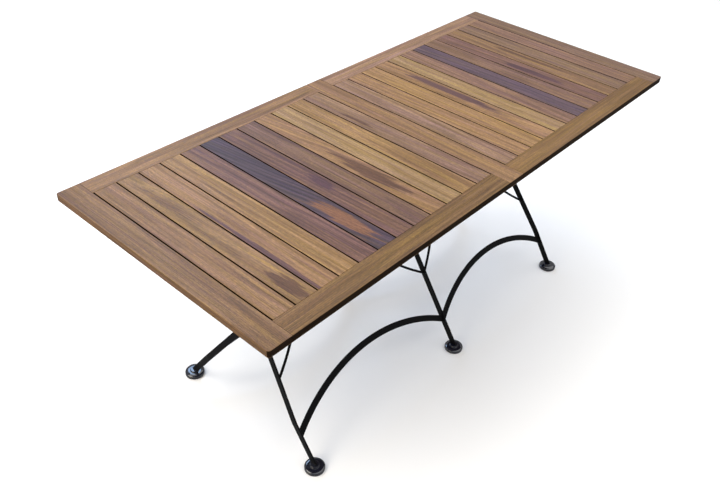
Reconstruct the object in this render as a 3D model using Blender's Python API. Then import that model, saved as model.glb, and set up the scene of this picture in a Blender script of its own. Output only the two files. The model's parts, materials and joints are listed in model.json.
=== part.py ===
"""Folding slatted table on two crossed steel leg frames.

Metres, +Z up.  The table's length runs along X and its width along Y.  The origin is
on the floor, under the middle of the top.

Both leg frames are the same weldment.  It is drawn flat, with its pivot at the origin,
X along the table, Z up the legs and Y through the thickness of the frame.  The front
frame leans back from its feet, and the rear frame is the same one turned half round.
"""

import math

import bmesh
import bpy
from mathutils import Matrix, Vector

# Driving dimensions -----------------------------------------------------------------

TABLE_HEIGHT = 0.750
TOP_LENGTH = 1.780
TOP_WIDTH = 0.762
TOP_THICKNESS = 0.020

END_RAIL_WIDTH = 0.065
CENTRE_RAIL_WIDTH = 0.064
LONG_RAIL_WIDTH = 0.060
SLATS_PER_BAY = 12
SLAT_GAP = 0.0035
EASED_EDGE = 0.0015
CORNER_RADIUS = 0.004
TONGUE_LENGTH = 0.010
TONGUE_THICKNESS = 0.006
TENON_LENGTH = 0.018
TENON_THICKNESS = 0.008
TENON_WIDTH = 0.036

FIT = 0.0003                 # gap left between pieces that touch
RUNNING_FIT = 0.0003         # gap round a part that turns in a hole
ROUND_STEPS = 24             # facets round a hole or a turned part

BAR_WIDTH = 0.020            # flat steel stock
BAR_THICKNESS = 0.005
LEG_LEAN = math.radians(35.0)
FOOT_SPREAD = 0.264          # from the middle of the table to a foot, across the width
END_LEG_REACH = 0.6375       # from the middle of the table to an end leg, at the foot
SIDE_STEP = 0.0075           # between the end legs of the two frames, side by side
MIDDLE_LEG_OFFSET = 0.0335
LEG_TILT = math.radians(6.2)    # end legs lean in above the bend
BEND_HEIGHT = 0.1425         # up the leg, from the foot
BEND_RADIUS = 0.060

ARCH_HEIGHT = 0.103          # up the leg, to the middle of the arch's end
ARCH_RISE = 0.1015
ARCH_STEPS = 28
DRAWN_PAST = 1.08            # how far past its span a curved bar is drawn, then trimmed

RAIL_RADIUS = 0.006          # round top rail
RAIL_DROP = 0.016            # from the underside of the top to the rail's axis
RAIL_END_MARGIN = 0.0235     # from the rail's end to the end of the top
BRACE_RADIUS = 0.0033
BRACE_HEIGHT = 0.276         # up the leg, to where a brace leaves it
BRACE_GAP = 0.050            # between two braces where they meet the rail
BRACE_STEPS = 10

FOOT_RADIUS = 0.0305
FOOT_RIM = 0.008
FOOT_DOME = 0.013
FOOT_EDGE = 0.001            # chamfer at the base and on the hub
DOME_STEPS = 5
FOOT_CROWN_RADIUS = 0.016
HUB_RADIUS = 0.0135
HUB_HEIGHT = 0.018
FOOT_HOLE_RADIUS = 0.0022
FOOT_HOLE_OFFSET = 0.0205

BOLT_RADIUS = 0.004
BOLT_CHAMFER = 0.0005
BOLT_END = 0.002             # thread showing past the nut
BOLT_HEAD_RADIUS = 0.0085
BOLT_HEAD_HEIGHT = 0.0045
NUT_FLATS = 0.013
NUT_HEIGHT = 0.0065
COLLAR_WALL = 0.003
SPACER_WALL = 0.0025

PLATE_THICKNESS = 0.003
PLATE_LENGTH = 0.060
PLATE_WIDTH = 0.030
EAR_THICKNESS = 0.005
EAR_RADIUS = 0.0125
SCREW_RADIUS = 0.0021
SCREW_HEAD_RADIUS = 0.0045
SCREW_HEAD_HEIGHT = 0.0024
SCREW_DEPTH = 0.013          # into the wood
SCREW_SIDES = 12
SCREW_STEPS = 3
SCREW_REACH = 0.0215         # from the middle of the plate
HOOK_OPENING_ANGLE = math.radians(27.0)   # the slot's run, from straight down
HOOK_CLEARANCE = 0.0006

# Worked out -------------------------------------------------------------------------

UNDERSIDE = TABLE_HEIGHT - TOP_THICKNESS
RAIL_AXIS_HEIGHT = UNDERSIDE - RAIL_DROP
# The leg's centre line crosses the foot's centre line at the top of the dome.
PIVOT_HEIGHT = FOOT_DOME + FOOT_SPREAD / math.tan(LEG_LEAN)
FOOT_REACH = (PIVOT_HEIGHT - FOOT_DOME) / math.cos(LEG_LEAN)
RAIL_REACH = (RAIL_AXIS_HEIGHT - PIVOT_HEIGHT) / math.cos(LEG_LEAN)
RAIL_Y = (RAIL_AXIS_HEIGHT - PIVOT_HEIGHT) * math.tan(LEG_LEAN)
RAIL_HALF_LENGTH = TOP_LENGTH / 2 - RAIL_END_MARGIN
BAY_LENGTH = (TOP_LENGTH - 2 * END_RAIL_WIDTH - CENTRE_RAIL_WIDTH) / 2
SLAT_PITCH = (BAY_LENGTH - SLAT_GAP) / SLATS_PER_BAY
SLAT_WIDTH = SLAT_PITCH - SLAT_GAP
SLAT_LENGTH = TOP_WIDTH - 2 * LONG_RAIL_WIDTH - 2 * FIT
BRACKET_X = TOP_LENGTH / 2 - END_RAIL_WIDTH / 2

UP_IN_FRAME = Vector((0.0, -math.sin(LEG_LEAN), math.cos(LEG_LEAN)))

# Each leg from the left: x at the foot, and the way its upper part tilts.
LEGS = (
    (-(END_LEG_REACH - SIDE_STEP / 2), 1),
    (MIDDLE_LEG_OFFSET, 0),
    (END_LEG_REACH + SIDE_STEP / 2, -1),
)


def clear_scene():
    for item in list(bpy.data.objects):
        bpy.data.objects.remove(item, do_unlink=True)


def make_material(name, colour, roughness, metallic=0.0):
    material = bpy.data.materials.new(name)
    material.use_nodes = True
    shader = material.node_tree.nodes["Principled BSDF"]
    shader.inputs["Base Color"].default_value = (*colour, 1.0)
    shader.inputs["Roughness"].default_value = roughness
    shader.inputs["Metallic"].default_value = metallic
    material.diffuse_color = (*colour, 1.0)
    return material


# Mesh tools --------------------------------------------------------------------------

def mesh_from(bm, name):
    bmesh.ops.recalc_face_normals(bm, faces=bm.faces)
    mesh = bpy.data.meshes.new(name)
    bm.to_mesh(mesh)
    bm.free()
    return mesh


def extruded(outline, axis, start, end, name):
    """A closed outline of (a, b) points carried along X, Y or Z from start to end."""
    place = {
        "X": lambda a, b, t: (t, a, b),
        "Y": lambda a, b, t: (a, t, b),
        "Z": lambda a, b, t: (a, b, t),
    }[axis]
    bm = bmesh.new()
    low = bm.faces.new([bm.verts.new(place(a, b, start)) for a, b in outline])
    grown = bmesh.ops.extrude_face_region(bm, geom=[low], use_keep_orig=True)
    shift = Vector(place(0.0, 0.0, end - start))
    for item in grown["geom"]:
        if isinstance(item, bmesh.types.BMVert):
            item.co += shift
    return mesh_from(bm, name)


def box(low, high, name):
    outline = [(low[0], low[1]), (high[0], low[1]), (high[0], high[1]), (low[0], high[1])]
    return extruded(outline, "Z", low[2], high[2], name)


def rod(centre, radius, start, end, name, sides=16):
    """A round bar along X, from start to end, about centre (y, z)."""
    outline = arc_points(centre, radius, 0.0, math.tau, sides)[:-1]
    return extruded(outline, "X", start, end, name)


def arc_points(centre, radius, start, end, steps):
    """Points on an arc, both ends included."""
    turns = [start + (end - start) * i / steps for i in range(steps + 1)]
    return [(centre[0] + radius * math.cos(a), centre[1] + radius * math.sin(a)) for a in turns]


def turned(profile, name, steps=ROUND_STEPS):
    """A profile of (radius, height) points, closed on the axis, spun about Z."""
    bm = bmesh.new()
    verts = [bm.verts.new((r, 0.0, z)) for r, z in profile]
    edges = [bm.edges.new(pair) for pair in zip(verts, verts[1:])]
    bmesh.ops.spin(bm, geom=verts + edges, axis=(0, 0, 1), cent=(0, 0, 0),
                   angle=math.tau, steps=steps)
    bmesh.ops.remove_doubles(bm, verts=bm.verts, dist=1e-6)
    return mesh_from(bm, name)


def swept_rod(points, radius, name, sides=8):
    """A round rod along a flat path of (x, z) points, with a ring square to it at each."""
    bm = bmesh.new()
    rings = []
    for i, (x, z) in enumerate(points):
        before = Vector(points[max(i - 1, 0)])
        after = Vector(points[min(i + 1, len(points) - 1)])
        along = (after - before).normalized()
        side = Vector((-along.y, 0.0, along.x))
        ring = []
        for k in range(sides):
            turn = math.tau * k / sides
            offset = side * math.cos(turn) + Vector((0, 1, 0)) * math.sin(turn)
            ring.append(bm.verts.new(Vector((x, 0.0, z)) + offset * radius))
        rings.append(ring)
    for low, high in zip(rings, rings[1:]):
        for k in range(sides):
            n = (k + 1) % sides
            bm.faces.new((low[k], low[n], high[n], high[k]))
    bm.faces.new(rings[0])
    bm.faces.new(rings[-1])
    return mesh_from(bm, name)


def with_boolean(mesh, tools, operation):
    """The mesh after tools, a list of meshes, have been cut from it or joined to it."""
    base = bpy.data.objects.new("work", mesh)
    bpy.context.collection.objects.link(base)
    helpers = []
    for tool in tools:
        helper = bpy.data.objects.new("tool", tool)
        bpy.context.collection.objects.link(helper)
        helper.hide_render = True
        helper.display_type = "WIRE"
        modifier = base.modifiers.new("work", "BOOLEAN")
        modifier.operation = operation
        modifier.object = helper
        modifier.solver = "EXACT"
        helpers.append(helper)
    bpy.context.view_layer.update()
    graph = bpy.context.evaluated_depsgraph_get()
    result = bpy.data.meshes.new_from_object(base.evaluated_get(graph))
    result.name = mesh.name
    for item in helpers + [base]:
        bpy.data.objects.remove(item, do_unlink=True)
    return result


def cut(mesh, tools):
    return with_boolean(mesh, tools, "DIFFERENCE")


def joined(mesh, tools):
    return with_boolean(mesh, tools, "UNION")


def trimmed(mesh, point, normal):
    """The mesh with what lies beyond a plane cut off, and the cut closed."""
    bm = bmesh.new()
    bm.from_mesh(mesh)
    geometry = bm.verts[:] + bm.edges[:] + bm.faces[:]
    found = bmesh.ops.bisect_plane(bm, geom=geometry, plane_co=point, plane_no=normal,
                                   clear_outer=True)
    rim = [item for item in found["geom_cut"] if isinstance(item, bmesh.types.BMEdge)]
    bmesh.ops.edgeloop_fill(bm, edges=rim)
    return mesh_from(bm, mesh.name)


def moved(mesh, matrix):
    mesh.transform(matrix)
    return mesh


def smoothed(mesh):
    mesh.shade_smooth()
    mesh.set_sharp_from_angle(angle=math.radians(35))
    return mesh


def place(name, mesh, material, parent=None, location=(0, 0, 0), rotation=(0, 0, 0)):
    item = bpy.data.objects.new(name, mesh)
    bpy.context.collection.objects.link(item)
    item.location = location
    item.rotation_euler = rotation
    item.parent = parent
    if not mesh.materials:
        mesh.materials.append(material)
    return item


def eased(mesh):
    """The mesh with the edges round its top and bottom faces chamfered."""
    bm = bmesh.new()
    bm.from_mesh(mesh)
    edges = []
    for edge in bm.edges:
        heights = {round(vert.co.z, 6) for vert in edge.verts}
        level = heights in ({0.0}, {round(-TOP_THICKNESS, 6)})
        if level and edge.calc_face_angle(0.0) > math.radians(40):
            edges.append(edge)
    bmesh.ops.bevel(bm, geom=edges, offset=EASED_EDGE, segments=1, affect="EDGES")
    return mesh_from(bm, mesh.name)


# Tabletop ----------------------------------------------------------------------------

def tongued_profile(half_length, tongue, thickness):
    """(y, z) outline of a board with a tongue in the middle of each end, top at z = 0."""
    middle = -TOP_THICKNESS / 2
    high = middle + thickness / 2
    low = middle - thickness / 2
    right = [
        (half_length, -TOP_THICKNESS),
        (half_length, low),
        (half_length + tongue, low),
        (half_length + tongue, high),
        (half_length, high),
        (half_length, 0.0),
    ]
    left = [(-y, z) for y, z in reversed(right)]
    return right + left


def slat_mesh():
    outline = tongued_profile(SLAT_LENGTH / 2, TONGUE_LENGTH, TONGUE_THICKNESS)
    return eased(extruded(outline, "X", -SLAT_WIDTH / 2, SLAT_WIDTH / 2, "slat"))


def long_rail_mesh():
    """A rail for the front edge, with a groove for the slats and a tenon at each end."""
    middle = -TOP_THICKNESS / 2
    groove_depth = TONGUE_LENGTH + 2 * FIT
    low = middle - TONGUE_THICKNESS / 2 - FIT
    high = middle + TONGUE_THICKNESS / 2 + FIT
    inner = LONG_RAIL_WIDTH / 2
    outline = [
        (-inner, -TOP_THICKNESS),
        (inner, -TOP_THICKNESS),
        (inner, low),
        (inner - groove_depth, low),
        (inner - groove_depth, high),
        (inner, high),
        (inner, 0.0),
        (-inner, 0.0),
    ]
    half = BAY_LENGTH / 2 - FIT
    rail = extruded(outline, "X", -half, half, "long rail")
    # The tenons stand clear of the groove, towards the outer edge.
    outer = -inner + (LONG_RAIL_WIDTH - groove_depth - TENON_WIDTH) / 2
    reach = half + TENON_LENGTH
    tenons = box((-reach, outer, middle - TENON_THICKNESS / 2),
                 (reach, outer + TENON_WIDTH, middle + TENON_THICKNESS / 2), "tenons")
    return joined(eased(rail), [tenons])


def mortise(x, side, y_sign):
    """A pocket for one tenon, opening at x towards side, at the near or far edge."""
    middle = -TOP_THICKNESS / 2
    groove_depth = TONGUE_LENGTH + 2 * FIT
    shoulder = (LONG_RAIL_WIDTH - groove_depth - TENON_WIDTH) / 2
    outer = TOP_WIDTH / 2 - shoulder + FIT
    inner = outer - TENON_WIDTH - 2 * FIT
    near, far = sorted((x + side * 0.002, x - side * (TENON_LENGTH + FIT)))
    low_y, high_y = sorted((y_sign * inner, y_sign * outer))
    half = TENON_THICKNESS / 2 + FIT
    return box((near, low_y, middle - half), (far, high_y, middle + half), "mortise")


def pilot_holes():
    """Holes in the underside of a cross rail for the screws of its two brackets."""
    holes = []
    for y in (-RAIL_Y, RAIL_Y):
        for sign in (-1, 1):
            outline = arc_points((0.0, y + sign * SCREW_REACH), SCREW_RADIUS + FIT,
                                 0.0, math.tau, SCREW_SIDES)[:-1]
            holes.append(extruded(outline, "Z", -2 * TOP_THICKNESS,
                                  SCREW_DEPTH + FIT - TOP_THICKNESS, "pilot hole"))
    return holes


def cross_rail_mesh(width, corners, mortise_sides, name):
    """A board across the full width, with its outer corners rounded on given sides."""
    half = width / 2
    y = TOP_WIDTH / 2
    r = CORNER_RADIUS
    outline = []
    for sx, sy, start in ((1, -1, -90), (1, 1, 0), (-1, 1, 90), (-1, -1, 180)):
        if sx in corners:
            centre = (sx * (half - r), sy * (y - r))
            turn = math.radians(start)
            outline += arc_points(centre, r, turn, turn + math.pi / 2, 4)
        else:
            outline.append((sx * half, sy * y))
    rail = extruded(outline, "Z", -TOP_THICKNESS, 0.0, name)
    pockets = [mortise(side * half, side, y_sign)
               for side in mortise_sides for y_sign in (-1, 1)]
    return cut(eased(rail), pockets + pilot_holes())


def build_tabletop(materials):
    hinge = bpy.data.objects.new("top_hinge", None)
    bpy.context.collection.objects.link(hinge)
    hinge.location = (0.0, RAIL_Y, RAIL_AXIS_HEIGHT)
    origin = Vector((0.0, -RAIL_Y, TABLE_HEIGHT - RAIL_AXIS_HEIGHT))

    left_end = cross_rail_mesh(END_RAIL_WIDTH, (-1,), (1,), "left end rail")
    right_end = cross_rail_mesh(END_RAIL_WIDTH, (1,), (-1,), "right end rail")
    centre = cross_rail_mesh(CENTRE_RAIL_WIDTH, (), (-1, 1), "centre rail")
    end_x = TOP_LENGTH / 2 - END_RAIL_WIDTH / 2
    for name, mesh, x in (("end_rail_left", left_end, -end_x),
                          ("centre_rail", centre, 0.0),
                          ("end_rail_right", right_end, end_x)):
        place(name, mesh, materials["rail"], hinge, origin + Vector((x, 0, 0)))

    long_rail = long_rail_mesh()
    slat = slat_mesh()
    for side, sign in (("left", -1), ("right", 1)):
        bay_x = sign * (CENTRE_RAIL_WIDTH / 2 + BAY_LENGTH / 2)
        for edge, y_sign, turn in (("front", -1, 0.0), ("rear", 1, math.pi)):
            y = y_sign * (TOP_WIDTH / 2 - LONG_RAIL_WIDTH / 2)
            place(f"long_rail_{edge}_{side}", long_rail, materials["rail"], hinge,
                  origin + Vector((bay_x, y, 0)), (0, 0, turn))
        for i in range(SLATS_PER_BAY):
            x = bay_x - BAY_LENGTH / 2 + SLAT_GAP + SLAT_WIDTH / 2 + i * SLAT_PITCH
            number = i + 1 if sign < 0 else SLATS_PER_BAY + i + 1
            place(f"slat_{number:02d}", slat, materials["slat"], hinge,
                  origin + Vector((x, 0, 0)))
    return hinge


# Brackets under the top --------------------------------------------------------------

def screw_mesh():
    """A round-headed screw through a bracket plate.  The plate's top face is at z = 0."""
    under = -PLATE_THICKNESS
    profile = [(0.0, SCREW_DEPTH), (SCREW_RADIUS, SCREW_DEPTH - SCREW_RADIUS),
               (SCREW_RADIUS, under + FIT), (SCREW_HEAD_RADIUS, under + FIT)]
    for i in range(SCREW_STEPS + 1):
        turn = math.pi / 2 * i / SCREW_STEPS
        profile.append((SCREW_HEAD_RADIUS * math.cos(turn),
                        under - SCREW_HEAD_HEIGHT * math.sin(turn)))
    profile[-1] = (0.0, profile[-1][1])
    return turned(profile, "screw", SCREW_SIDES)


def bracket_mesh(open_hook):
    """A plate with its two screws, and an ear below it.  The rail's axis is the origin."""
    half = EAR_THICKNESS / 2
    plate_top = RAIL_DROP - FIT
    plate = box((-PLATE_WIDTH / 2, -PLATE_LENGTH / 2, plate_top - PLATE_THICKNESS),
                (PLATE_WIDTH / 2, PLATE_LENGTH / 2, plate_top), "bracket")
    screws = []
    for sign in (-1, 1):
        at = Matrix.Translation((0.0, sign * SCREW_REACH, plate_top))
        screws.append(moved(screw_mesh(), at))
    # The ear overlaps the plate by half the plate's thickness, so that they join.
    ear_top = plate_top - PLATE_THICKNESS / 2
    outline = arc_points((0.0, 0.0), EAR_RADIUS, -math.pi, 0.0, 16)
    outline += [(EAR_RADIUS, ear_top), (-EAR_RADIUS, ear_top)]
    ear = extruded(outline, "X", -half, half, "ear")
    reach = 2 * EAR_THICKNESS
    if open_hook:
        radius = RAIL_RADIUS + RUNNING_FIT + HOOK_CLEARANCE
        bore_round = arc_points((0.0, 0.0), radius, 0.0, math.pi, 12)
        run = EAR_RADIUS * 3
        slot = bore_round + [(-radius, -run), (radius, -run)]
        opening = extruded(slot, "X", -reach, reach, "hook slot")
        opening.transform(Matrix.Rotation(HOOK_OPENING_ANGLE, 4, "X"))
    else:
        opening = rod((0.0, 0.0), RAIL_RADIUS + RUNNING_FIT, -reach, reach, "rail hole",
                      ROUND_STEPS)
    return cut(joined(plate, [ear] + screws), [opening])


def build_brackets(hinge, material):
    closed = bracket_mesh(open_hook=False)
    hook = bracket_mesh(open_hook=True)
    for side, x in (("left", -BRACKET_X), ("middle", 0.0), ("right", BRACKET_X)):
        place(f"hinge_bracket_{side}", closed, material, hinge, (x, 0, 0))
        place(f"hook_bracket_{side}", hook, material, hinge, (x, -2 * RAIL_Y, 0))


# Leg frames --------------------------------------------------------------------------

def leg_line(x, tilt, offset=0.0):
    """(x, z) points up a leg, shifted sideways by offset, from below the foot to the rail."""
    bend = BEND_HEIGHT - FOOT_REACH
    bottom = -FOOT_REACH - BAR_WIDTH
    if tilt == 0:
        return [(x + offset, bottom), (x + offset, RAIL_REACH)]
    radius = BEND_RADIUS - tilt * offset
    centre = (x + tilt * BEND_RADIUS, bend - BEND_RADIUS * math.tan(LEG_TILT / 2))
    start = math.pi if tilt > 0 else 0.0
    curve = arc_points(centre, radius, start, start - tilt * LEG_TILT, 4)
    last = curve[-1]
    climb = RAIL_REACH - last[1]
    top = (last[0] + tilt * climb * math.tan(LEG_TILT), RAIL_REACH)
    return [(x + offset, bottom)] + curve + [top]


def leg_mesh(x, tilt, name):
    half = BAR_THICKNESS / 2
    outline = leg_line(x, tilt, half) + list(reversed(leg_line(x, tilt, -half)))
    bar = extruded(outline, "Y", -BAR_WIDTH / 2, BAR_WIDTH / 2, name)
    # The lower end is cut level, just above the foot's hub.
    above_pivot = HUB_HEIGHT + FIT - PIVOT_HEIGHT
    bar = trimmed(bar, UP_IN_FRAME * above_pivot, -UP_IN_FRAME)
    saddle = rod((0.0, RAIL_REACH), RAIL_RADIUS + FIT, -TOP_LENGTH, TOP_LENGTH, "saddle",
                 ROUND_STEPS)
    bore = rod((0.0, 0.0), BOLT_RADIUS + RUNNING_FIT, -TOP_LENGTH, TOP_LENGTH, "bore",
               ROUND_STEPS)
    return cut(bar, [saddle, bore])


def leg_x(index, height):
    """x of a leg's centre line at a height up the leg from the foot."""
    x, tilt = LEGS[index]
    return x + tilt * max(height - BEND_HEIGHT, 0.0) * math.tan(LEG_TILT)


def arch_mesh(left_index, right_index, name):
    """A flat bar bent on edge between two legs, with its ends cut against them."""
    low = leg_x(left_index, ARCH_HEIGHT) + BAR_THICKNESS / 2 + FIT
    high = leg_x(right_index, ARCH_HEIGHT) - BAR_THICKNESS / 2 - FIT
    half_span = (high - low) / 2
    radius = (half_span ** 2 + ARCH_RISE ** 2) / (2 * ARCH_RISE)
    middle = (low + high) / 2
    centre = (middle, ARCH_HEIGHT - FOOT_REACH + ARCH_RISE - radius)
    # The bar is drawn a little past both legs, and trimmed to their faces.
    spread = math.asin(half_span / radius) * DRAWN_PAST
    top = math.pi / 2
    outer = arc_points(centre, radius + BAR_WIDTH / 2, top + spread, top - spread, ARCH_STEPS)
    inner = arc_points(centre, radius - BAR_WIDTH / 2, top - spread, top + spread, ARCH_STEPS)
    bar = extruded(outer + inner, "Y", -BAR_THICKNESS / 2, BAR_THICKNESS / 2, name)
    for index, side, sign in ((left_index, low, -1), (right_index, high, 1)):
        bar = trimmed(bar, (side, 0, 0), (sign, 0, 0))
    return bar


def brace_foot(index, side):
    """(x, z) where a brace's centre line meets the side of its leg."""
    face = BAR_THICKNESS / 2 / math.cos(LEG_TILT) + FIT
    return leg_x(index, BRACE_HEIGHT) + side * face, BRACE_HEIGHT - FOOT_REACH


def brace_mesh(index, side, run):
    """A rod that leaves a leg, bends up on an arc and meets the rail square."""
    rise = RAIL_REACH + FOOT_REACH - BRACE_HEIGHT
    # An arc that ends upright: run / rise is the tangent of half its turn.
    turn = 2 * math.atan(run / rise)
    radius = rise / math.sin(turn)
    x, z = brace_foot(index, side)
    # The rod is drawn a little way into the leg, and trimmed to the leg's side.
    into = Vector((-side * math.sin(turn), -math.cos(turn))) * BRACE_RADIUS * 2
    points = [(x + into.x, z + into.y)]
    for i in range(BRACE_STEPS + 1):
        angle = turn * (1 - i / BRACE_STEPS)
        along = radius * (math.cos(angle) - math.cos(turn))
        up = radius * (math.sin(turn) - math.sin(angle))
        points.append((x + side * along, z + up))
    tilt = LEGS[index][1]
    away = (-side * math.cos(LEG_TILT * abs(tilt)), 0.0, side * tilt * math.sin(LEG_TILT))
    return trimmed(swept_rod(points, BRACE_RADIUS, "brace"), (x, 0.0, z), away)


def top_rail_mesh():
    """The round top rail with its four braces, one from each end leg, two from the middle."""
    rail = rod((0.0, RAIL_REACH), RAIL_RADIUS, -RAIL_HALF_LENGTH, RAIL_HALF_LENGTH,
               "top rail", 16)
    braces = []
    for left, right in ((0, 1), (1, 2)):
        low, _ = brace_foot(left, 1)
        high, _ = brace_foot(right, -1)
        run = (high - low - BRACE_GAP) / 2
        braces += [brace_mesh(left, 1, run), brace_mesh(right, -1, run)]
    return joined(rail, braces)


def foot_mesh():
    """A domed disc with a hub for the leg and a screw hole towards +X."""
    profile = [(0.0, 0.0), (FOOT_RADIUS - FOOT_EDGE, 0.0), (FOOT_RADIUS, FOOT_EDGE),
               (FOOT_RADIUS, FOOT_RIM)]
    shoulder = FOOT_RADIUS - FOOT_CROWN_RADIUS
    for i in range(1, DOME_STEPS + 1):
        turn = math.pi / 2 * i / DOME_STEPS
        profile.append((FOOT_CROWN_RADIUS + shoulder * math.cos(turn),
                        FOOT_RIM + (FOOT_DOME - FOOT_RIM) * math.sin(turn)))
    profile += [(HUB_RADIUS, FOOT_DOME), (HUB_RADIUS, HUB_HEIGHT - FOOT_EDGE),
                (HUB_RADIUS - FOOT_EDGE, HUB_HEIGHT), (0.0, HUB_HEIGHT)]
    foot = turned(profile, "foot")
    hole = extruded(arc_points((FOOT_HOLE_OFFSET, 0.0), FOOT_HOLE_RADIUS, 0.0, math.tau, 10)[:-1],
                    "Z", -FOOT_DOME, 2 * FOOT_DOME, "foot hole")
    return smoothed(cut(foot, [hole]))


def build_leg_frame(letter, turn, meshes, materials):
    """One frame on its empty, which sits on the pivot axis."""
    pivot = bpy.data.objects.new(f"pivot_{letter}", None)
    bpy.context.collection.objects.link(pivot)
    pivot.location = (0, 0, PIVOT_HEIGHT)
    lean = Matrix.Rotation(turn, 4, "Z") @ Matrix.Rotation(-LEG_LEAN, 4, "X")
    pivot.rotation_euler = lean.to_euler()
    # A frame turned half round has its drawn left on the table's right.
    sides = ("right", "middle", "left") if turn else ("left", "middle", "right")
    for index, (x, _) in enumerate(LEGS):
        place(f"leg_{letter}_{sides[index]}", meshes["legs"][index], materials["steel"], pivot)
        # The foot stands level, with its screw hole on the side away from the table's middle.
        outward = 0.0 if x > 0 else math.pi
        level = Matrix.Rotation(LEG_LEAN, 4, "X") @ Matrix.Rotation(outward, 4, "Z")
        floor = UP_IN_FRAME * -FOOT_DOME + Vector((x, 0, -FOOT_REACH))
        place(f"foot_{letter}_{sides[index]}", meshes["foot"], materials["foot"], pivot,
              floor, level.to_euler())
    for mesh, side in zip(meshes["arches"], (sides[0], sides[2])):
        place(f"arch_{letter}_{side}", mesh, materials["steel"], pivot)
    place(f"top_rail_{letter}", meshes["top_rail"], materials["steel"], pivot)
    return pivot


# Pivots ------------------------------------------------------------------------------

def bolt_mesh(grip_low, grip_high, collar, name):
    """A bolt along X through bars between grip_low and grip_high, domed head at the top end.

    collar is the (start, end) of a shoulder between the bars, or None.
    """
    head = []
    for i in range(DOME_STEPS + 1):
        angle = math.pi / 2 * i / DOME_STEPS
        head.append((BOLT_HEAD_RADIUS * math.cos(angle),
                     grip_high + FIT + BOLT_HEAD_HEIGHT * math.sin(angle)))
    head[-1] = (0.0, head[-1][1])
    nut_low = grip_low - FIT - NUT_HEIGHT
    tail = nut_low - BOLT_END
    profile = [(0.0, tail), (BOLT_RADIUS - BOLT_CHAMFER, tail),
               (BOLT_RADIUS, tail + BOLT_CHAMFER)]
    if collar:
        washer = BOLT_RADIUS + COLLAR_WALL
        profile += [(BOLT_RADIUS, collar[0]), (washer, collar[0]),
                    (washer, collar[1]), (BOLT_RADIUS, collar[1])]
    profile += [(BOLT_RADIUS, grip_high + FIT)] + head
    bolt = turned(profile, name)
    nut_radius = NUT_FLATS / math.sqrt(3)
    nut = extruded(arc_points((0, 0), nut_radius, 0.0, math.tau, 6)[:-1], "Z",
                   nut_low, grip_low - FIT, "nut")
    return smoothed(moved(joined(bolt, [nut]), Matrix.Rotation(math.pi / 2, 4, "Y")))


def build_pivots(pivot, material):
    """Bolts on the pivot axis, carried by the front frame."""
    tilt_in = math.tan(LEG_TILT) * (FOOT_REACH - BEND_HEIGHT)
    # A tilted bar reaches further along the bolt than an upright one.
    half = BAR_THICKNESS / 2 / math.cos(LEG_TILT) + BOLT_HEAD_RADIUS * math.tan(LEG_TILT)
    inner_face = SIDE_STEP / 2 - half
    middle = END_LEG_REACH - tilt_in
    grip = SIDE_STEP / 2 + half
    collar = (-inner_face + FIT, inner_face - FIT) if inner_face > 2 * FIT else None
    end_bolt = bolt_mesh(-grip, grip, collar, "end bolt")
    for side, x, turn in (("left", -middle, math.pi), ("right", middle, 0.0)):
        place(f"pivot_bolt_{side}", end_bolt, material, pivot, (x, 0, 0), (0, 0, turn))
    reach = MIDDLE_LEG_OFFSET + BAR_THICKNESS / 2
    place("pivot_bolt_middle", bolt_mesh(-reach, reach, None, "middle bolt"), material, pivot)
    inner = BOLT_RADIUS + RUNNING_FIT
    outer = inner + SPACER_WALL
    half_tube = MIDDLE_LEG_OFFSET - BAR_THICKNESS / 2 - FIT
    tube = rod((0.0, 0.0), outer, -half_tube, half_tube, "spacer", ROUND_STEPS)
    core = rod((0.0, 0.0), inner, -2 * half_tube, 2 * half_tube, "spacer bore", ROUND_STEPS)
    place("pivot_spacer", smoothed(cut(tube, [core])), material, pivot)


def main():
    clear_scene()
    materials = {
        "rail": make_material("rail wood", (0.36, 0.22, 0.11), 0.55),
        "slat": make_material("slat wood", (0.30, 0.17, 0.09), 0.55),
        "steel": make_material("black coated steel", (0.012, 0.012, 0.014), 0.45),
        "foot": make_material("black glossy plastic", (0.010, 0.010, 0.014), 0.12),
        "zinc": make_material("zinc plated steel", (0.55, 0.55, 0.56), 0.35, 1.0),
    }
    hinge = build_tabletop(materials)
    build_brackets(hinge, materials["steel"])
    meshes = {
        "legs": [leg_mesh(x, tilt, "leg") for x, tilt in LEGS],
        "arches": [arch_mesh(0, 1, "left arch"), arch_mesh(1, 2, "right arch")],
        "top_rail": smoothed(top_rail_mesh()),
        "foot": foot_mesh(),
    }
    front = build_leg_frame("front", 0.0, meshes, materials)
    build_leg_frame("rear", math.pi, meshes, materials)
    build_pivots(front, materials["zinc"])


main()
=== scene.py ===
"""The finished folding table: oiled slatted top on black coated steel legs.

Metres, +Z up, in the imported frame's own coordinates.  Every new piece is a surface
worked out as whole numpy arrays: a profile carried along a path, a row of rings, or a
profile turned about a line.
"""
import json
import math

import bpy
import numpy as np
from mathutils import Matrix, Vector


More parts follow.
